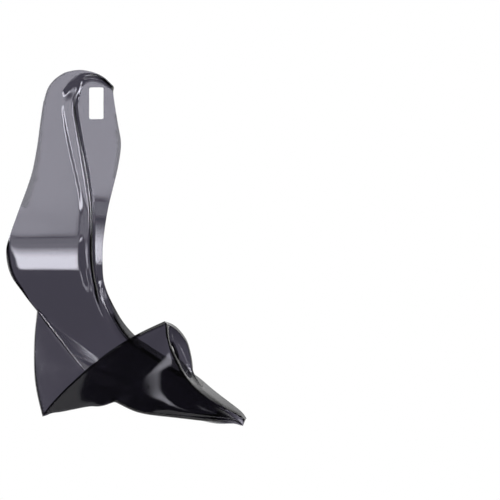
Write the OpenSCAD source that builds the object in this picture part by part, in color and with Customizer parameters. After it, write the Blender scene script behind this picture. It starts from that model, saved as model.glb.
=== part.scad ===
// One-piece moulded hand guard: a flat wing with a slotted strap pad and a
// stiffening bead, bent back at its foot and folded into a horn-shaped cup.
// X runs across the wing, Y away from the rider's side, Z up the wing.
// The origin is the middle of the strap slot, half way through the pad.

/* [Sheet] */
// Wall thickness of the moulding
sheet = 3; // [2.4:0.1:3.6]
// Inside radius of the sharp folds
fold_radius = 2.4; // [2:0.1:4]

/* [Wing] */
// Height from the line of the bend to the middle of the slot
wing_height = 131.5; // [120:0.5:145]
// Width of the wing across the line of the bend
wing_width = 81.5; // [74:0.5:90]
// Angle by which the lower plate leans back from the wing
bend_angle = 26; // [20:1:32]
// Radius of the bend in the wing
bend_radius = 75; // [50:1:95]
// Radius of the bend in the strip beside the bead
strip_bend_radius = 155; // [130:1:180]
// Height above the line of the bend at which the strip starts to bend
strip_bend_rise = 50; // [40:1:56]
// Width of the margin rolled back along the outer edge below the bend
roll_width = 7; // [4:0.5:9]
// Depth by which that margin is rolled back
roll_depth = 5; // [2:0.5:7]

/* [Strap pad] */
// Depth by which the pad lies behind the face of the wing
pad_drop = 4; // [2:0.5:5.5]
// Width of the strap slot
slot_width = 12.2; // [10:0.2:14]
// Height of the strap slot
slot_height = 27; // [22:0.5:30]
// Radius in the corners of the strap slot
slot_corner = 1.5; // [0.8:0.1:3]

/* [Bead] */
// Width of the flat top of the bead beside the pad
bead_flat = 7.8; // [6:0.2:9]
// Width of each sloping side of the bead beside the pad
bead_side = 2.6; // [2:0.2:4]
// Width of the flat top of the bead at the bend
bend_flat = 5; // [4:0.2:7]
// Width of the side of the bead towards the wing at the bend
bend_side = 5.2; // [4:0.2:6]
// Height of the bead above the slope from the pad to the wing
bead_height = 2.2; // [1.2:0.1:3]

/* [Cup] */
// Depth of the bottom corner of the cup behind the pad
corner_depth = 8; // [4:0.5:14]
// Depth of the inner end of the bottom fold behind the pad
fold_depth = 22; // [16:0.5:28]
// Distance by which the peak of the cup stands in front of the pad
peak_reach = 8; // [2:0.5:14]
// Amount by which the beak swells in front of its straight section
beak_swell = 4; // [1:0.5:7]
// Depth of the flange turned back along the inner edge
flange_depth = 17; // [8:0.5:24]

/* [Stem hole] */
// Depth by which the wall round the stem hole is dished
stem_dish = 8; // [4:0.5:10]
// Diameter of the hole for the mirror stem
stem_hole_d = 20; // [14:0.5:22]

/* [Hidden] */

smoke = [0.36, 0.35, 0.42];

// The sheet is a loft. Station 0 is the top outline, 1 and 2 are the shoulder
// and the foot of the step round the pad, 9 is the line of the bend, 12 the
// notch where the cup starts, 15 its bottom corner, 17 its peak, 18 the inner
// end of the bottom fold and 23 the tail.
pad_foot = 2;
bend_station = 9;
notch = 12;
corner = 15;
peak = 17;
fold_end = 18;
weld = 19.5;
tail = 23;
stations = [
    0, 0.4, 0.75, 1, 1.25, 1.5, 1.75, 2, 2.25, 2.6, 3, 3.5, 4, 4.33, 4.67, 5, 5.33, 5.67, 6, 6.5,
    7, 7.33, 7.67, 8, 8.25, 8.5, 8.75, 9, 9.25, 9.5, 9.75, 10, 10.33, 10.67, 11, 11.5, 12,
    12.33, 12.67, 13, 13.5, 14, 14.5, 15, 15.12, 15.3, 15.6, 16, 16.33, 16.67, 17,
    17.12, 17.3, 17.5, 17.75, 18, 18.12, 18.3, 18.6, 18.8, 19, 19.25, 19.5, 19.8, 20.2, 20.6, 21,
    21.5, 22, 22.4, 22.75
];
last = len(stations) - 1;

// Top of the wing, as width in hundredths of wing_width and height over the
// slot, from the inner edge to the outer edge
crown = [
    [
        [16.3, 14.7], [14.1, 18.5], [2.7, 24.7], [-12.9, 28.2], [-19.1, 28.3],
        [-25.4, 27.6], [-32.8, 26.2], [-46.9, 17.3], [-53.6, 5.4]
    ],
    [
        [16.7, 13], [15, 15.9], [1.7, 23.5], [-12.9, 25.3], [-20.7, 23.2],
        [-27.5, 19], [-33.3, 13.4], [-43.6, 10.5], [-53.9, 3.9]
    ],
    [
        [17.3, 10.8], [15.6, 12.4], [-1.5, 19.8], [-14.5, 16.4], [-20.7, 12.6],
        [-27.5, 10.5], [-35.3, 8.8], [-45.3, 6], [-54.4, 2.4]
    ]
];
// Wing from the slot to the bend: height in hundredths of wing_height, then
// outer edge, bead and inner edge in hundredths of wing_width
wing = [
    [-0.5, -55.5, -28.6, 19.1],
    [-14.7, -58.8, -25.5, 22.9],
    [-27.6, -61.5, -21.3, 25.9],
    [-47, -67.7, -14.8, 20.7],
    [-65.1, -78.3, -9.8, 13.1],
    [-85.8, -90.1, -9.2, 7.6],
    [-98.4, -93.7, -9.2, 6.4]
];
// Lower plate below the line of the bend: outer edge or valley, bead line and
// inner edge
plate = [
    [[-73, -13.6], [-6, -14.5], [5.4, -14.5]],
    [[-64.1, -26.3], [-3.8, -24.9], [7.3, -26.3]],
    [[-50.5, -45], [-2.5, -35], [10.5, -35.5]],
    [[-32.6, -61.6], [6.6, -59], [20.5, -54.4]],
    [[-17.3, -73.1], [16.6, -73.7], [31.1, -67.1]],
    [[-5.4, -81.6], [26, -82.2], [40.5, -73.9]],
    [[6.5, -90.5], [38, -91], [52.4, -81.6]],
    [[20.1, -99.9], [49.8, -99.5], [63.4, -89.2]],
    [[35.4, -109.6], [61.3, -107.8], [74.5, -96.5]],
    [[52.4, -120.3], [73.6, -117.3], [85.9, -103.7]],
    [[73.6, -130.9], [87, -124.5], [98.7, -114.7]],
    [[98.3, -141.2], [104.5, -132.8], [113.6, -125.8]],
    [[115.8, -141], [118.4, -137.5], [123.3, -133]],
    [[124.6, -143.9], [125.6, -142.5], [128, -139.8]]
];
// Edges and folds of the cup, below the line of the bend
gutter = [
    [-50.5, -45], [-35.2, -65], [-23.3, -80.7], [-13.9, -92.6], [-4.6, -103.7], [4.8, -114.3],
    [13.3, -123.2]
];
keel = [[13.3, -123.2], [34.5, -133], [64.3, -136.4], [93.2, -137.7], [115.3, -138.1], [123.8, -143.2]];
outer_rim = [[-50.5, -45], [-53, -68], [-52.8, -104.2], [-46, -134.4]];
cup_rim = [[-46, -134.4], [-28.2, -113.6], [1.4, -87.1], [30.3, -67.6], [58.7, -54.4]];
ridge = [
    [58.7, -54.4], [61.7, -75.6], [75.3, -102], [89.8, -117.7], [104.2, -128.3], [117.8, -137.7],
    [125, -143.6]
];
stem_rim = [[58.7, -54.4], [67.7, -59.5], [76.2, -70.5], [80, -83.3], [81.7, -96], [85.1, -108.5]];
// How far each point of these lies on its way from the depth of its first
// point to that of its last
keel_lean = [0, 0.04, 0.25, 0.57, 0.86, 1];
ridge_lean = [0, 0.28, 0.53, 0.76, 0.88, 0.97, 1];
stem_lean = [0, 0.48, 0.86, 0.99, 1.02, 1];

// Width of the margin outside the strip on the wing, and of the lean of the
// flange on the lower plate
margin = 1.8;
flange_lean = 5;
// Width of the narrow margin along the outer edge of the wing
rim_round = 0.8;
// Half the width of the small rounding along each line of the bead
line_round = 0.9;
// Part of the way from the wing to the strip at which the bead stands
bead_place = 0.4;
// Sideways fall of the flat of the bead beside the pad
bead_fall = 0.6;
// Depth slope of the tail, and where the plate turns into it
tail_angle = 12;
tail_turn = 88;
tail_blend = 25;
// Rise of the inner edge of the lower plate towards the rider's side
edge_rise = 3;

function smooth(a, b, x) = let (t = min(1, max(0, (x - a) / (b - a)))) t * t * (3 - 2 * t);
function mix(a, b, t) = a + (b - a) * t;
function unit(v) = v / max(norm(v), 0.000001);

// A smooth curve through the points, where u counts points
function curve(points, u) =
    let (
        n = len(points) - 1,
        v = min(max(u, 0), n),
        i = min(floor(v), n - 1),
        t = v - i,
        a = points[i],
        b = points[i + 1],
        m = i == 0 ? b - a : (b - points[i - 1]) / 2,
        q = i == n - 1 ? b - a : (points[i + 2] - a) / 2
    )
    a * (1 + 2 * t) * (1 - t) * (1 - t) + b * t * t * (3 - 2 * t)
    + m * t * (1 - t) * (1 - t) - q * t * t * (1 - t);
function between(points, from, to, k) = curve(points, (k - from) / (to - from) * (len(points) - 1));

// Lines of the plate at a whole station, from the inner edge to the outer one:
// edge, flange line, middle of the strip, four lines of the bead, middle of
// the wing, outer edge
function lines(outer, middle, inner, k) =
    let (
        inward = unit(inner - middle),
        outward = unit(outer - middle),
        lean = margin + (flange_lean - margin) * smooth(10, 14, k),
        lower = smooth(6.6, 7.2, k),
        half = mix(bead_flat, bend_flat, smooth(5, 7.2, k)) / 2,
        strip_side = half + bead_side,
        wing_side = half + mix(bead_side, bend_side, lower),
        a = min(1, norm(inner - middle) / (lean + strip_side + 1.5)),
        b = min(1, norm(outer - middle) / (wing_side + 1.5)),
        flange_line = inner - inward * lean * a,
        strip_foot = middle + inward * strip_side * a,
        wing_foot = middle + outward * wing_side * b
    )
    [
        inner, flange_line, (flange_line + strip_foot) / 2, strip_foot, middle + inward * half * a,
        middle + outward * half * b, wing_foot, (wing_foot + outer) / 2, outer
    ];
function spine(k) =
    k <= bend_station ?
        let (w = wing[k - 3], z = w[0] * wing_height / 100, s = wing_width / 100)
        [[w[1] * s, z], [w[2] * s, z], [w[3] * s, z]] :
    let (p = plate[k - 10], down = [0, -wing_height])
    [for (q = p) q + down];
spines = [for (k = [3:tail]) spine(k)];
function spine_point(n, k) = curve([for (row = spines) row[n]], k - 3);
function spine_lines(k) = lines(spine_point(0, k), spine_point(1, k), spine_point(2, k), k);
top_key = [
    for (k = [0:4])
        k <= pad_foot ? [for (p = crown[k]) [p[0] * wing_width / 100, p[1]]] : spine_lines(k)
];
function flat_lines(k) =
    k > 4 ? spine_lines(k) :
    [for (m = [0:8]) curve(concat([for (row = top_key) row[m]], [spine_lines(5)[m]]), k)];

// Depth of a plate bent once at the foot of the wing, from a height above the
// line of the bend on, and eased in the tail
function bent(z, radius, rise) =
    let (
        below = -wing_height - z,
        arc = rise + below,
        arc_end = radius * sin(bend_angle) - rise,
        slope = tan(bend_angle),
        d = below - tail_turn,
        eased =
            d < -tail_blend ? 0 :
            d > tail_blend ? d :
            (d + tail_blend) * (d + tail_blend) / (4 * tail_blend),
        plain =
            arc <= 0 ? 0 :
            below < arc_end ? radius - sqrt(radius * radius - arc * arc) :
            radius * (1 - cos(bend_angle)) + (below - arc_end) * slope
    )
    plain - eased * (slope - tan(tail_angle));
function line_depth(m, k, z) =
    let (
        face = bent(z, bend_radius, bend_radius * tan(bend_angle / 2)) - pad_drop,
        strip = bent(z, strip_bend_radius, strip_bend_rise),
        dropped = mix(face, strip, smooth(1, 2, k) * (1 - smooth(10, 13.5, k))),
        fall = bead_fall / 2 * smooth(4, 5.5, k) * (1 - smooth(6.6, 7.2, k)),
        raised = bead_height * smooth(2, 3.2, k) * (1 - smooth(11, 14.5, k)),
        turned = flange_depth * smooth(10, 18, k) * (1 - 0.6 * smooth(20, tail, k)),
        rise = edge_rise * smooth(11, 14, k) * (1 - smooth(19, 22, k))
    )
    m == 0 ? dropped + turned :
    m == 1 ? dropped - rise :
    m == 2 ? dropped - rise / 2 :
    m == 3 ? dropped :
    m == 4 ? mix(face, dropped, bead_place) - raised + fall :
    m == 5 ? mix(face, dropped, bead_place) - raised - fall :
    face;
function plate_points(k) =
    let (p = flat_lines(k))
    [for (m = [0:8]) [p[m][0], line_depth(m, k, p[m][1]), p[m][1]]];
function plate_point(m, k) = plate_points(k)[m];

// Corners of the cup
function on_frame(p, depth) = [p[0], depth, p[1] - wing_height];
notch_point = plate_point(8, notch);
corner_point = on_frame(outer_rim[3], corner_depth);
fold_point = on_frame(keel[0], fold_depth);
peak_point = on_frame(ridge[0], -peak_reach);
tail_depth = line_depth(8, tail, -wing_height + plate[len(plate) - 1][0][1]);
weld_depth = line_depth(1, weld, plate_point(1, weld)[2]);

// The point of a plane through three points that lies at p of the outline
function on_plane(a, b, c, p) =
    let (n = cross(b - a, c - a), x = p[0], z = p[1] - wing_height)
    [x, a[1] - (n[0] * (x - a[0]) + n[2] * (z - a[2])) / n[1], z];
function on_side(p) = on_plane(notch_point, corner_point, fold_point, p);
function on_front(p) = on_plane(corner_point, fold_point, peak_point, p);

function gutter_point(k) =
    k <= fold_end ? on_side(between(gutter, notch, fold_end, k)) :
    let (lean = between(keel_lean, fold_end, tail, k))
    on_frame(between(keel, fold_end, tail, k), mix(fold_depth, tail_depth, lean));
function fold_line_point(k) =
    k <= corner ? on_side(between(outer_rim, notch, corner, k)) :
    k <= fold_end ? mix(corner_point, fold_point, (k - corner) / (fold_end - corner)) :
    gutter_point(k);
function ridge_point(k) =
    k <= corner ? fold_line_point(k) :
    k <= peak ? on_front(between(cup_rim, corner, peak, k)) :
    let (lean = between(ridge_lean, peak, tail, k))
    on_frame(between(ridge, peak, tail, k), mix(-peak_reach, tail_depth, lean));
function stem_rim_point(k) =
    k <= peak ? ridge_point(k) :
    k <= weld ?
        let (lean = between(stem_lean, peak, weld, k))
        on_frame(between(stem_rim, peak, weld, k), mix(-peak_reach, weld_depth, lean)) :
    plate_point(1, k);
// The wall round the stem hole runs straight back from the ridge and turns out
// to its rim, as a curve drawn to a point behind the rim
function dish_point(k) =
    let (r = ridge_point(k), s = stem_rim_point(k), w = smooth(peak, 17.6, k) * (1 - smooth(18.8, weld, k)))
    mix((r + s) / 2, [r[0] - 0.2 * (s[0] - r[0]), s[1] + stem_dish, (r[2] + s[2]) / 2], w);
function dished(a, c, b, t) = a * (1 - t) * (1 - t) + c * 2 * t * (1 - t) + b * t * t;
function stem_wall_point(k, t) = dished(ridge_point(k), dish_point(k), stem_rim_point(k), t);

// A rounded corner at b, as count + 1 points of an arc
function rounded(a, b, c, radius, count) =
    let (
        u = a - b,
        v = c - b,
        lu = norm(u),
        lv = norm(v)
    )
    min(lu, lv) < 0.05 ? [for (i = [0:count]) b] :
    let (
        half = acos(max(-1, min(1, u * v / (lu * lv)))) / 2,
        reach = min(max(radius / tan(half), 0.4), 0.45 * lu, 0.45 * lv),
        weight = sin(half),
        p = b + u * reach / lu,
        q = b + v * reach / lv
    )
    [
        for (i = [0:count])
            let (t = i / count, e = (1 - t) * (1 - t), f = 2 * weight * t * (1 - t), g = t * t)
            (e * p + f * b + g * q) / (e + f + g)
    ];
// Vector by which a corner moves out so that its rounding still reaches it
function pushed_out(a, b, c) =
    let (
        u = unit(a - b),
        v = unit(c - b),
        half = acos(max(-1, min(1, u * v))) / 2
    )
    norm(a - b) < 1 || norm(c - b) < 1 ? [0, 0, 0] :
    -unit(u + v) * max(0, fold_radius * (1 / sin(half) - 1) - sheet / 2);
// Points between a and b without their ends, swelling by a vector
function span(a, b, count, swell = [0, 0, 0]) =
    [for (i = [1:count - 1]) mix(a, b, i / count) + swell * sin(180 * i / count)];
// Points between a and b through m without their ends
function span_through(a, m, b, count) =
    [
        for (i = [1:count - 1])
            let (t = i / count)
            a * (1 - t) * (1 - 2 * t) + m * 4 * t * (1 - t) + b * t * (2 * t - 1)
    ];
function nip(a, b, c) =
    let (r = min(line_round, 0.4 * norm(a - b), 0.4 * norm(c - b)))
    [b + unit(a - b) * r, b + unit(c - b) * r];

strip_parts = 4;
wing_parts = 6;
side_parts = 3;
front_parts = 4;
stem_parts = 5;
fold_parts = 5;
flange_half = sheet / 2;

// One section of the loft, from the edge of the flange to the far free edge
function section(k) =
    let (
        p = plate_points(k),
        g = gutter_point(k),
        line = fold_line_point(k),
        r = ridge_point(k),
        s = stem_rim_point(k),
        f = line + pushed_out(g, line, r) * smooth(corner, 15.6, k) * (1 - smooth(17.3, fold_end, k)),
        half = min(flange_half, 0.35 * norm(p[0] - p[1]), 0.35 * norm(p[3] - p[1])),
        flange = [p[0], p[1] + unit(p[0] - p[1]) * half, p[1] + unit(p[3] - p[1]) * half],
        b = [for (m = [3:6]) each nip(p[m - 1], p[m], p[m + 1])],
        roll = smooth(7.8, 9.3, k) * (1 - smooth(9.6, notch, k)),
        edge_in = unit(p[7] - p[8]),
        rolled = p[8] + edge_in * 0.4 * sheet * roll + [0, roll_depth * roll * roll, 0],
        roll_line = p[8] + edge_in * mix(rim_round, roll_width, roll),
        plate_end =
            k <= notch ?
                [roll_line, mix(mix(roll_line, p[8], 0.6), rolled, 0.3), rolled] :
            rounded(p[7], p[8], g, fold_radius, 2),
        strip = span_through(flange[2], p[2], b[0], strip_parts),
        face = span_through(b[7], p[7], plate_end[0], wing_parts),
        beak = k < fold_end,
        swell = [0.2, -0.75, -0.6] * beak_swell * smooth(fold_end, 19, k) * (1 - smooth(20, tail, k)),
        side = k < fold_end ?
            let (
                g_fold = rounded(plate_end[2], g, f, fold_radius, 2),
                f_fold =
                    k <= corner ? [for (i = [0:fold_parts]) f] :
                    rounded(g, f, r, fold_radius, fold_parts)
            )
            concat(g_fold, span(g_fold[2], f_fold[0], side_parts), f_fold) :
            rounded(plate_end[2], g, r, fold_radius, 2 + side_parts + fold_parts),
        r_fold = k <= peak ? [r, r, r] : rounded(side[len(side) - 1], r, s, fold_radius, 2)
    )
    concat(
        flange, strip, b, face, plate_end, side,
        span(side[len(side) - 1], r_fold[0], front_parts, swell), r_fold,
        [for (i = [1:stem_parts - 1]) dished(r_fold[2], dish_point(k), s, i / stem_parts)], [s]
    );

plate_last = 3 + (strip_parts - 1) + 8 + (wing_parts - 1) + 2;
side_last = plate_last + 1 + 3 + (side_parts - 1);
front_last = side_last + fold_parts + 1 + (front_parts - 1);
stem_last = front_last + 2 + stem_parts;
columns = stem_last + 1;

grid = [for (k = stations) section(k)];
function row_of(k) = search(k, stations)[0];
corner_row = row_of(corner);
notch_row = row_of(notch);
peak_row = row_of(peak);
weld_row = row_of(weld);

function end_of(i) =
    i <= notch_row ? plate_last :
    i <= corner_row ? side_last :
    i <= peak_row ? front_last :
    stem_last;
function at(i, j) = grid[i][min(j, end_of(i))];
function cell_area(i, j) = cross(at(i + 1, j + 1) - at(i, j), at(i + 1, j) - at(i, j + 1));
function sum(v, i = 0) = i >= len(v) ? [0, 0, 0] : v[i] + sum(v, i + 1);
function band_cells(band, i, j) =
    band < 0 || band >= last ? [] :
    let (
        ends = j == end_of(i),
        from = max(0, j - 1),
        to = min(ends ? end_of(band + 1) - 1 : j, end_of(band + 1) - 1)
    )
    [for (c = [from:1:to]) cell_area(band, c)];
function evened(v) = v / sqrt(max(norm(v), 0.000001));
function normal_at(i, j) =
    unit(sum([for (a = concat(band_cells(i - 1, i, j), band_cells(i, i, j))) evened(a)]));
function wall_at(k) = sheet * (1 - 0.45 * smooth(20, tail, k));

// Vertices: the side towards the inside of the cup, then the outer side
inside = [
    for (i = [0:last]) for (j = [0:stem_last])
        at(i, j) + normal_at(i, min(j, end_of(i))) * wall_at(stations[i]) / 2
];
outside = [
    for (i = [0:last]) for (j = [0:stem_last])
        at(i, j) - normal_at(i, min(j, end_of(i))) * wall_at(stations[i]) / 2
];
plug_row = row_of(21);
tail_plug = 2 * columns * (last + 1);
function inner_at(i, j) = i * columns + min(j, end_of(i));
function outer_at(i, j) = columns * (last + 1) + i * columns + min(j, end_of(i));
// Below the weld the far edge stands on the flange line
function inner_welded(i, j) = i >= weld_row && j == stem_last ? inner_at(i, 2) : inner_at(i, j);
function outer_welded(i, j) = i >= weld_row && j == stem_last ? inner_at(i, 1) : outer_at(i, j);
function distinct(f) = [for (n = [0:len(f) - 1]) if (f[n] != f[(n + 1) % len(f)]) f[n]];
function clean(fs) = [for (f = fs) let (d = distinct(f)) if (len(d) > 2) d];
function bands_to(n) = [0:1:n - 1];

inner_faces = [
    for (i = bands_to(last)) for (j = [0:stem_last - 1])
        if (j == 0 || (i < plug_row && !(j == 1 && i >= weld_row)))
            [inner_welded(i, j), inner_welded(i + 1, j), inner_welded(i + 1, j + 1), inner_welded(i, j + 1)]
];
outer_faces = [
    for (i = bands_to(last)) for (j = [0:stem_last - 1])
        [outer_welded(i, j), outer_welded(i, j + 1), outer_welded(i + 1, j + 1), outer_welded(i + 1, j)]
];
edge_faces = concat(
    [for (i = bands_to(last)) [inner_at(i, 0), outer_at(i, 0), outer_at(i + 1, 0), inner_at(i + 1, 0)]],
    [for (j = [0:plate_last - 1]) [inner_at(0, j), inner_at(0, j + 1), outer_at(0, j + 1), outer_at(0, j)]],
    [
        for (i = bands_to(weld_row))
            let (j = stem_last)
            [inner_welded(i, j), inner_welded(i + 1, j), outer_welded(i + 1, j), outer_welded(i, j)]
    ]
);
plug_faces = [
    for (j = [2:stem_last - 1])
        [inner_welded(plug_row, j), tail_plug, inner_welded(plug_row, j + 1)]
];
tail_ring = concat([inner_at(last, 0)], [for (j = [0:stem_last]) outer_welded(last, j)]);
tail_tip = tail_plug + 1;
tail_faces = [
    for (n = [0:len(tail_ring) - 1])
        [tail_ring[n], tail_ring[(n + 1) % len(tail_ring)], tail_tip]
];
plug_ring = [for (j = [2:stem_last - 1]) at(plug_row, j)];
plug_point = sum(plug_ring) / len(plug_ring) + unit(at(last, 20) - at(plug_row, 20)) * 2;
tip_point = plate_point(8, tail);
shell_points = concat(inside, outside, [plug_point, tip_point]);
shell_faces = clean(concat(inner_faces, outer_faces, edge_faces, plug_faces, tail_faces));

// Middle and axis of the stem hole in the dished wall
hole_station = 18.3;
hole_part = 0.24;
hole_middle = stem_wall_point(hole_station, hole_part);
hole_along = stem_wall_point(hole_station + 0.3, hole_part)
    - stem_wall_point(hole_station - 0.3, hole_part);
hole_across = stem_wall_point(hole_station, hole_part + 0.22)
    - stem_wall_point(hole_station, hole_part - 0.12);
hole_axis = unit(cross(hole_along, hole_across));

module slot_outline() {
    half_w = slot_width / 2;
    half_h = slot_height / 2;
    square([slot_width, slot_height - 2 * slot_corner], center = true);
    square([slot_width - 2 * slot_corner, slot_height], center = true);
    for (x = [-1, 1], y = [-1, 1])
        translate([x * (half_w - slot_corner), y * (half_h - slot_corner)])
            circle(r = slot_corner, $fn = 32);
}

module strap_slot_cut() {
    rotate([90, 0, 0])
        linear_extrude(height = 6 * sheet, center = true)
            slot_outline();
}

module stem_hole_cut() {
    translate(hole_middle)
        rotate([0, acos(hole_axis[2]), atan2(hole_axis[1], hole_axis[0])])
            cylinder(h = 5 * sheet, d = stem_hole_d, center = true, $fn = 96);
}

module hand_guard() {
    color(smoke)
        difference() {
            polyhedron(points = shell_points, faces = shell_faces, convexity = 8);
            strap_slot_cut();
            stem_hole_cut();
        }
}

hand_guard();
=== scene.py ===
"""Motorcycle hand guard: one moulded sheet of smoke-tinted clear plastic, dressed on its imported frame."""

import math
from typing import NamedTuple

import bmesh
import bpy
from bpy.props import FloatProperty, FloatVectorProperty, IntProperty, PointerProperty
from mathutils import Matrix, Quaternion, Vector


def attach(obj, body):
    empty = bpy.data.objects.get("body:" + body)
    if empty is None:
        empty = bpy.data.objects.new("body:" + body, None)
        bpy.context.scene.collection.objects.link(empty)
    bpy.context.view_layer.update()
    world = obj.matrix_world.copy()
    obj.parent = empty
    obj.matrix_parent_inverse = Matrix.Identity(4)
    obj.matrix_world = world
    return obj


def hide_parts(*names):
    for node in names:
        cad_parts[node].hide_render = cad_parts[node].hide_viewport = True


bl_info = {
    "name": "Hand Guard",
    "version": (1, 0, 0),
    "blender": (4, 5, 0),
    "location": "View3D > Sidebar > Hand Guard",
    "description": "Builds a smoke-tinted motorcycle hand guard and its studio",
    "category": "Object",
}

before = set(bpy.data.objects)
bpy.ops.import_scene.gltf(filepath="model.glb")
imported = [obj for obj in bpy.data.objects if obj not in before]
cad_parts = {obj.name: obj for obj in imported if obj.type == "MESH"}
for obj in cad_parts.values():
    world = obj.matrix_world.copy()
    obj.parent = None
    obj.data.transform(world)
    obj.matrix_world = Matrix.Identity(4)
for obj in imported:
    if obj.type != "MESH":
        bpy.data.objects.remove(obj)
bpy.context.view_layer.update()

# Two triangles become one four-sided face if they turn and skew less than this
JOIN_TURN = math.radians(25)
JOIN_SKEW = math.radians(60)

# Noise of the plastic, in waves a metre: slow flow of the melt, fine peel of the skin, wiped patches
FLOW_SCALE = 22.0
PEEL_SCALE = 420.0
WIPED_SCALE = 60.0

# Heights of the flow and the peel, in metres
FLOW_HEIGHT = 0.00025
PEEL_HEIGHT = 0.0000006

# Values of the wiped noise and of the rim share between which haze and the painted rim shade come in
WIPED_RANGE = (0.45, 0.8)
RIM_RANGE = (0.78, 0.94)

# The white wall as the sheet mirrors it: weights of a ray's way back and up, and where their sum turns white
WALL_BACK = 0.8
WALL_UP = 0.45
WALL_RANGE = (-0.1, 0.4)

# Strength of the surround for rays that are neither seen, mirrored nor let through
DAYLIGHT = 0.6

# Floor: half its width in metres, its cells a side, its paint, and how white the camera sees it
FLOOR_REACH = 1.3
FLOOR_CELLS = 8
FLOOR_PAINT = (0.8, 0.8, 0.8, 1.0)
FLOOR_ROUGHNESS = 0.6
FLOOR_WHITE = 0.9

# Width of the camera's sensor, in millimetres
SENSOR_WIDTH = 36.0

# Places that several lamps share, in metres from the strap slot
FRONT_X = 0.05
FAR_Y = -3.0
NEAR_Y = -0.2
STRIP_Z = 0.1
SLOT = (0.0, 0.0, 0.0)


class GuardSheet(bpy.types.PropertyGroup):
    """Sizes and finish of the moulded sheet."""

    weld_distance: FloatProperty(
        name="Weld distance",
        description="Points of the packed sheet closer than this become one",
        default=0.00002,
        min=0.000001,
        max=0.0002,
        unit="LENGTH",
        precision=6,
    )
    fold_angle: FloatProperty(
        name="Fold angle",
        description="Edges that turn more than this stay crisp",
        default=math.radians(50),
        min=math.radians(20),
        max=math.radians(85),
        subtype="ANGLE",
    )
    edge_crease: FloatProperty(
        name="Edge crease",
        description="How crisp the rims of the sheet are",
        default=1.0,
        min=0.0,
        max=1.0,
        subtype="FACTOR",
    )
    # Rims near the strap slot are left out of the painted rim shade
    slot_reach: FloatProperty(
        name="Slot reach",
        description="Rims closer than this to the middle of the strap slot stay light",
        default=0.016,
        min=0.0,
        max=0.05,
        unit="LENGTH",
    )
    smoothing: IntProperty(
        name="Smoothing",
        description="Subdivision steps of the sheet",
        default=2,
        min=0,
        max=3,
    )
    surface_tint: FloatVectorProperty(
        name="Surface tint",
        description="Share of light that the skin of the sheet lets in",
        default=(0.42, 0.405, 0.455),
        size=3,
        min=0.0,
        max=1.0,
        subtype="COLOR",
    )
    # Painted shade: the skin is darkened along the cut rims, standing in for the dark outline that a clear
    # sheet shows edge-on
    painted_rim_shade: FloatVectorProperty(
        name="Rim tint",
        description="Share of light that the skin lets in along the cut rims",
        default=(0.05, 0.048, 0.06),
        size=3,
        min=0.0,
        max=1.0,
        subtype="COLOR",
    )
    smoke_colour: FloatVectorProperty(
        name="Smoke colour",
        description="Colour that the thickness of the sheet leaves",
        default=(0.075, 0.06, 0.15),
        size=3,
        min=0.0,
        max=1.0,
        subtype="COLOR",
    )
    smoke_density: FloatProperty(
        name="Smoke density",
        description="Absorption of the sheet, per metre",
        default=690.0,
        min=0.0,
        max=5000.0,
    )
    polish: FloatProperty(
        name="Polish",
        description="Roughness of the clean moulded skin",
        default=0.045,
        min=0.0,
        max=1.0,
        subtype="FACTOR",
    )
    haze: FloatProperty(
        name="Haze",
        description="Extra roughness where hands and cloth have dulled the skin",
        default=0.05,
        min=0.0,
        max=0.5,
        subtype="FACTOR",
    )
    refraction: FloatProperty(
        name="Refraction",
        description="Index of refraction of the plastic",
        default=1.58,
        min=1.0,
        max=2.5,
    )


class StudioSet(bpy.types.PropertyGroup):
    """Camera, lamps and floor."""

    camera_distance: FloatProperty(
        name="Camera distance",
        description="Distance from the camera to the strap slot's plane",
        default=6.0,
        min=1.0,
        max=12.0,
        unit="LENGTH",
    )
    frame_width: FloatProperty(
        name="Frame width",
        description="Width of the picture at the strap slot's plane",
        default=0.425,
        min=0.2,
        max=2.0,
        unit="LENGTH",
    )
    frame_middle: FloatVectorProperty(
        name="Frame middle",
        description="Point that the camera looks at",
        default=(0.1306, 0.0, -0.1247),
        size=3,
        unit="LENGTH",
    )
    front_panel: FloatProperty(
        name="Front panel",
        description="Radiance of the large soft panel in front of the guard",
        default=4.2,
        min=0.0,
        max=50.0,
    )
    skirt_panel: FloatProperty(
        name="Front skirt",
        description="Radiance of the dim panel under the front panel",
        default=1.5,
        min=0.0,
        max=50.0,
    )
    low_panel: FloatProperty(
        name="Low panels",
        description="Radiance of the two bright panels close to the guard, below its wing",
        default=12.0,
        min=0.0,
        max=50.0,
    )
    corner_panel: FloatProperty(
        name="Corner panel",
        description="Radiance of the dim panel below the beak",
        default=3.4,
        min=0.0,
        max=50.0,
    )
    side_strips: FloatProperty(
        name="Front strips",
        description="Radiance of the narrow strips left and right of the front panel",
        default=13.0,
        min=0.0,
        max=50.0,
    )
    fill_panel: FloatProperty(
        name="Fill panels",
        description="Radiance of the two dim panels beside the front panel",
        default=1.6,
        min=0.0,
        max=50.0,
    )
    side_strip: FloatProperty(
        name="Side strip",
        description="Radiance of the small strip to the right of the wing",
        default=15.0,
        min=0.0,
        max=50.0,
    )
    lamp_tint: FloatVectorProperty(
        name="Lamp tint",
        description="Colour of all the panels",
        default=(0.96, 0.95, 1.06),
        size=3,
        min=0.0,
        max=2.0,
        subtype="COLOR",
    )
    room_level: FloatProperty(
        name="Room level",
        description="Brightness of the room in front of and below the guard, as the sheet mirrors it",
        default=0.03,
        min=0.0,
        max=1.0,
    )
    floor_drop: FloatProperty(
        name="Floor drop",
        description="Distance from the strap slot down to the floor",
        default=3.0,
        min=0.3,
        max=5.0,
        unit="LENGTH",
    )


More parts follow.
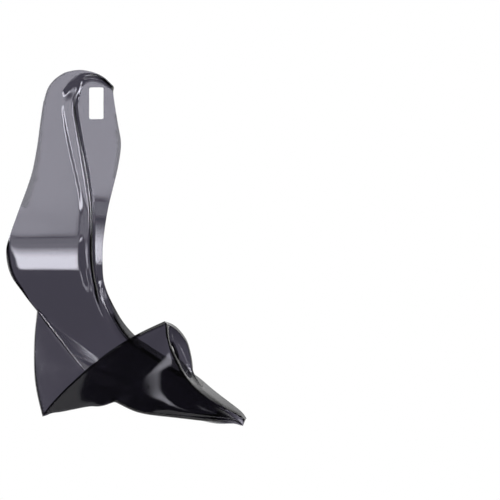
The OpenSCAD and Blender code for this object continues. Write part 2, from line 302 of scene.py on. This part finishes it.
class Term:
    """A shader value that adds its own Math nodes when it is used in an expression."""

    def __init__(self, tree, socket):
        self.tree = tree
        self.socket = socket

    def math(self, operation, *values):
        made = self.tree.nodes.new("ShaderNodeMath")
        made.operation = operation
        for place, value in enumerate((self,) + values):
            plug(self.tree, made.inputs[place], value)
        return Term(self.tree, made.outputs[0])

    def __add__(self, other):
        return self.math("ADD", other)

    def __sub__(self, other):
        return self.math("SUBTRACT", other)

    def __mul__(self, other):
        return self.math("MULTIPLY", other)

    def __rsub__(self, other):
        return self.math("MULTIPLY_ADD", -1.0, other)

    __radd__ = __add__
    __rmul__ = __mul__

    def at_least(self, other):
        return self.math("MAXIMUM", other)

    def clear_of(self, low, high):
        """0 below low, 1 above high, and a smooth step between."""
        made = add_node(
            self.tree,
            "ShaderNodeMapRange",
            {"interpolation_type": "SMOOTHSTEP"},
            Value=self,
            From_Min=low,
            From_Max=high,
        )
        return Term(self.tree, made.outputs[0])


def plug(tree, socket, value):
    """Links a socket or a term, or sets a plain value."""
    if isinstance(value, Term):
        value = value.socket
    if isinstance(value, bpy.types.NodeSocket):
        tree.links.new(value, socket)
    else:
        socket.default_value = value


def add_node(tree, kind, settings=None, **inputs):
    """A node of any kind: settings first, then its sockets by name, with _ for a space."""
    made = tree.nodes.new(kind)
    for name, value in (settings or {}).items():
        setattr(made, name, value)
    for name, value in inputs.items():
        wanted = name.replace("_", " ")
        socket = next(s for s in made.inputs if s.name == wanted and s.enabled)
        plug(tree, socket, value)
    return made


def material_tree(name):
    """A new material with an empty tree and its output node."""
    material = bpy.data.materials.new(name)
    material.use_nodes = True
    tree = material.node_tree
    tree.nodes.clear()
    return material, tree, tree.nodes.new("ShaderNodeOutputMaterial")


def noise(tree, place, scale, detail, roughness=0.5):
    made = add_node(
        tree,
        "ShaderNodeTexNoise",
        {"noise_dimensions": "3D"},
        Vector=place,
        Scale=scale,
        Detail=detail,
        Roughness=roughness,
    )
    return Term(tree, made.outputs[0])


def smoke_plastic(look):
    """Glossy moulded sheet: clear skin, smoke tint in its thickness, painted shade along the rims and
    handling haze.
    """
    material, tree, output = material_tree("smoke_tinted_plastic")
    # Painted shade: the skin's colour is mixed towards the dark rim colour along the cut rims, in place of
    # the dark edge-on outline
    rim = add_node(tree, "ShaderNodeAttribute", {"attribute_name": "rim_shade"})
    tint = add_node(
        tree,
        "ShaderNodeMix",
        {"data_type": "RGBA"},
        Factor=Term(tree, rim.outputs["Fac"]).clear_of(*RIM_RANGE),
        A=(*look.surface_tint, 1.0),
        B=(*look.painted_rim_shade, 1.0),
    ).outputs[2]
    place = add_node(tree, "ShaderNodeTexCoord").outputs["Object"]
    flow = noise(tree, place, FLOW_SCALE, detail=1.0)
    peel = noise(tree, place, PEEL_SCALE, detail=1.0)
    wiped = noise(tree, place, WIPED_SCALE, detail=3.0, roughness=0.6).clear_of(*WIPED_RANGE)
    relief = add_node(
        tree,
        "ShaderNodeBump",
        Strength=1.0,
        Distance=1.0,
        Height=flow * FLOW_HEIGHT + peel * PEEL_HEIGHT,
    )
    skin = add_node(
        tree,
        "ShaderNodeBsdfPrincipled",
        Base_Color=tint,
        Roughness=wiped * look.haze + look.polish,
        IOR=look.refraction,
        Transmission_Weight=1.0,
        Normal=relief.outputs[0],
    )
    smoke = add_node(
        tree,
        "ShaderNodeVolumeAbsorption",
        Color=(*look.smoke_colour, 1.0),
        Density=look.smoke_density,
    )
    tree.links.new(skin.outputs[0], output.inputs["Surface"])
    tree.links.new(smoke.outputs[0], output.inputs["Volume"])
    return material


def background_level(tree, room, daylight):
    """Strength of the surround: white to the camera and through the sheet, room where it is mirrored,
    and daylight to all other rays."""
    path = add_node(tree, "ShaderNodeLightPath")
    seen = Term(tree, path.outputs["Is Camera Ray"])
    through = Term(tree, path.outputs["Is Transmission Ray"])
    mirrored = Term(tree, path.outputs["Is Glossy Ray"])
    white = seen.at_least(through)
    other = mirrored * room + (1 - mirrored) * daylight
    return white + (1 - white) * other


class MakeShell(bpy.types.Operator):
    """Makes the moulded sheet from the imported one, with crisp rims and smooth folds"""

    bl_idname = "hand_guard.make_shell"
    bl_label = "Moulded sheet"

    def execute(self, context):
        look = context.scene.guard_sheet
        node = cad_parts["hand_guard"]
        sheet = bmesh.new()
        sheet.from_mesh(node.data)
        bmesh.ops.remove_doubles(sheet, verts=sheet.verts, dist=look.weld_distance)
        bmesh.ops.dissolve_degenerate(sheet, edges=sheet.edges, dist=look.weld_distance)
        bmesh.ops.join_triangles(
            sheet,
            faces=sheet.faces,
            angle_face_threshold=JOIN_TURN,
            angle_shape_threshold=JOIN_SKEW,
        )
        crease = sheet.edges.layers.float.new("crease_edge")
        rim = sheet.verts.layers.float.new("rim_shade")
        for edge in sheet.edges:
            if len(edge.link_faces) == 2 and edge.calc_face_angle() > look.fold_angle:
                edge[crease] = look.edge_crease
                edge.smooth = False
                # Vertices on crisp rims away from the strap slot get the share for the painted rim shade
                for corner in edge.verts:
                    if math.hypot(corner.co.x, corner.co.z) > look.slot_reach:
                        corner[rim] = 1.0
        for face in sheet.faces:
            face.smooth = True
        mesh = bpy.data.meshes.new("moulded_sheet")
        sheet.to_mesh(mesh)
        sheet.free()
        shell = bpy.data.objects.new("moulded_sheet", mesh)
        context.scene.collection.objects.link(shell)
        smooth = shell.modifiers.new("smooth_folds", "SUBSURF")
        smooth.levels = look.smoothing
        smooth.render_levels = look.smoothing
        mesh.materials.append(smoke_plastic(look))
        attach(shell, "root")
        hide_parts("hand_guard")
        return {"FINISHED"}


class SoftPanel(NamedTuple):
    """One area lamp of the studio, in metres.

    level names the setting that holds its radiance. fades holds the shares of the panel over which
    it fades at its left, right, low and high edge. target is the point that it faces, and without
    one it faces straight along Y. roll turns it about its own middle."""

    name: str
    level: str
    middle: tuple
    size: tuple
    fades: tuple
    target: tuple = None
    roll: float = 0.0


PANELS = (
    SoftPanel(
        "front_panel",
        level="front_panel",
        middle=(FRONT_X, FAR_Y, 0.63),
        size=(1.3, 1.66),
        fades=(0.1, 0.1, 0.08, 0.47),
    ),
    SoftPanel(
        "front_skirt",
        level="skirt_panel",
        middle=(FRONT_X, FAR_Y, -0.42),
        size=(1.3, 0.7),
        fades=(0.2, 0.2, 0.3, 0.19),
    ),
    SoftPanel(
        "low_panel",
        level="low_panel",
        middle=(-0.055, NEAR_Y, -0.235),
        size=(0.19, 0.19),
        fades=(0.3, 0.3, 0.16, 0.5),
    ),
    SoftPanel(
        "left_strip",
        level="side_strips",
        middle=(-0.8, FAR_Y, STRIP_Z),
        size=(0.5, 1.4),
        fades=(0.3, 0.3, 0.2, 0.2),
    ),
    SoftPanel(
        "right_strip",
        level="side_strips",
        middle=(0.95, FAR_Y, STRIP_Z),
        size=(0.5, 1.4),
        fades=(0.3, 0.3, 0.2, 0.2),
    ),
    SoftPanel(
        "left_fill",
        level="fill_panel",
        middle=(-1.5, -2.5, 0.0),
        size=(1.4, 1.4),
        fades=(0.3, 0.2, 0.2, 0.2),
        target=SLOT,
    ),
    SoftPanel(
        "right_fill",
        level="fill_panel",
        middle=(1.9, -2.2, 0.25),
        size=(1.8, 1.0),
        fades=(0.2, 0.3, 0.4, 0.2),
        target=SLOT,
    ),
    SoftPanel(
        "low_left",
        level="low_panel",
        middle=(-0.0925, NEAR_Y, -0.25),
        size=(0.095, 0.15),
        fades=(0.2, 0.4, 0.3, 0.3),
    ),
    SoftPanel(
        "corner_panel",
        level="corner_panel",
        middle=(0.135, NEAR_Y, -0.4),
        size=(0.34, 0.075),
        fades=(0.45, 0.2, 0.4, 0.4),
        roll=math.radians(-44),
    ),
    SoftPanel(
        "side_strip",
        level="side_strip",
        middle=(0.18, -0.09, -0.06),
        size=(0.08, 0.18),
        fades=(0.3, 0.3, 0.3, 0.3),
        target=(-0.01, 0.0, -0.06),
    ),
)


def hang_panel(scene, panel, radiance, tint):
    """The area lamp of one panel, with its four edges faded. The camera doesn't see it."""
    width, height = panel.size
    lamp = bpy.data.lights.new(panel.name, "AREA")
    lamp.shape = "RECTANGLE"
    lamp.size = width
    lamp.size_y = height
    lamp.energy = radiance * width * height * math.pi
    lamp.use_nodes = True
    tree = lamp.node_tree
    tree.nodes.clear()
    place = add_node(tree, "ShaderNodeNewGeometry").outputs["Parametric"]
    parts = add_node(tree, "ShaderNodeSeparateXYZ", Vector=place)
    across = Term(tree, parts.outputs["X"])
    along = Term(tree, parts.outputs["Y"])
    left, right, low, high = panel.fades
    level = across.clear_of(0.0, left) * (1 - across).clear_of(0.0, right)
    level = level * along.clear_of(0.0, low) * (1 - along).clear_of(0.0, high)
    glow = add_node(tree, "ShaderNodeEmission", Color=(*tint, 1.0), Strength=level)
    output = tree.nodes.new("ShaderNodeOutputLight")
    tree.links.new(glow.outputs[0], output.inputs["Surface"])
    middle = Vector(panel.middle)
    target = Vector(panel.target or (middle.x, 0.0, middle.z))
    turn = Quaternion((0.0, 0.0, 1.0), panel.roll)
    holder = bpy.data.objects.new(panel.name, lamp)
    holder.location = middle
    holder.rotation_mode = "QUATERNION"
    holder.rotation_quaternion = (target - middle).to_track_quat("-Z", "Y") @ turn
    holder.visible_camera = False
    holder.visible_transmission = False
    scene.collection.objects.link(holder)


class MakeStudio(bpy.types.Operator):
    """Makes the pale floor, the white surround, the lamps and the camera"""

    bl_idname = "hand_guard.make_studio"
    bl_label = "Studio"

    def make_surround(self, scene, look):
        world = bpy.data.worlds.new("studio_surround")
        scene.world = world
        world.use_nodes = True
        tree = world.node_tree
        tree.nodes.clear()
        way = add_node(tree, "ShaderNodeTexCoord").outputs["Generated"]
        parts = add_node(tree, "ShaderNodeSeparateXYZ", Vector=way)
        behind = Term(tree, parts.outputs["Y"])
        above = Term(tree, parts.outputs["Z"])
        wall = (behind * WALL_BACK + above * WALL_UP).clear_of(*WALL_RANGE)
        room = wall * (1.0 - look.room_level) + look.room_level
        glow = add_node(
            tree,
            "ShaderNodeBackground",
            Color=(1.0, 1.0, 1.0, 1.0),
            Strength=background_level(tree, room, DAYLIGHT),
        )
        output = tree.nodes.new("ShaderNodeOutputWorld")
        tree.links.new(glow.outputs[0], output.inputs["Surface"])

    def make_floor(self, scene, look):
        floor = bmesh.new()
        bmesh.ops.create_grid(
            floor,
            x_segments=FLOOR_CELLS,
            y_segments=FLOOR_CELLS,
            size=FLOOR_REACH,
        )
        bmesh.ops.translate(floor, verts=floor.verts, vec=(0.0, 0.0, -look.floor_drop))
        mesh = bpy.data.meshes.new("pale_floor")
        floor.to_mesh(mesh)
        floor.free()
        material, tree, output = material_tree("pale_floor")
        path = add_node(tree, "ShaderNodeLightPath")
        seen = Term(tree, path.outputs["Is Camera Ray"])
        through = Term(tree, path.outputs["Is Transmission Ray"])
        paint = add_node(
            tree,
            "ShaderNodeBsdfPrincipled",
            Base_Color=FLOOR_PAINT,
            Roughness=FLOOR_ROUGHNESS,
        )
        glow = add_node(tree, "ShaderNodeEmission", Strength=1.0)
        both = add_node(
            tree,
            "ShaderNodeMixShader",
            Fac=seen.at_least(through) * FLOOR_WHITE,
        )
        tree.links.new(paint.outputs[0], both.inputs[1])
        tree.links.new(glow.outputs[0], both.inputs[2])
        tree.links.new(both.outputs[0], output.inputs["Surface"])
        mesh.materials.append(material)
        plane = bpy.data.objects.new("pale_floor", mesh)
        scene.collection.objects.link(plane)

    def make_camera(self, scene, look):
        lens = bpy.data.cameras.new("photo_camera")
        lens.sensor_width = SENSOR_WIDTH
        lens.lens = lens.sensor_width * look.camera_distance / look.frame_width
        lens.clip_start = 0.1
        lens.clip_end = 60.0
        camera = bpy.data.objects.new("photo_camera", lens)
        camera.location = Vector(look.frame_middle) - Vector((0.0, look.camera_distance, 0.0))
        camera.rotation_euler = (math.pi / 2, 0.0, 0.0)
        scene.collection.objects.link(camera)
        scene.camera = camera

    def execute(self, context):
        scene = context.scene
        look = scene.studio_set
        self.make_surround(scene, look)
        self.make_floor(scene, look)
        self.make_camera(scene, look)
        for panel in PANELS:
            hang_panel(scene, panel, getattr(look, panel.level), look.lamp_tint)
        scene.view_settings.view_transform = "Standard"
        return {"FINISHED"}


class HandGuardPanel(bpy.types.Panel):
    """Lists the steps of the hand guard"""

    bl_idname = "VIEW3D_PT_hand_guard"
    bl_label = "Hand Guard"
    bl_space_type = "VIEW_3D"
    bl_region_type = "UI"
    bl_category = "Hand Guard"

    def draw(self, context):
        column = self.layout.column(align=True)
        for step in STEPS:
            column.operator(step.bl_idname)


GROUPS = {"guard_sheet": GuardSheet, "studio_set": StudioSet}
STEPS = (MakeShell, MakeStudio)
CLASSES = (*GROUPS.values(), *STEPS, HandGuardPanel)


def register():
    for made in CLASSES:
        bpy.utils.register_class(made)
    for name, group in GROUPS.items():
        setattr(bpy.types.Scene, name, PointerProperty(type=group))


def unregister():
    for name in GROUPS:
        delattr(bpy.types.Scene, name)
    for made in reversed(CLASSES):
        bpy.utils.unregister_class(made)


def main():
    register()
    bpy.ops.hand_guard.make_shell()
    bpy.ops.hand_guard.make_studio()


if __name__ == "__main__":
    main()
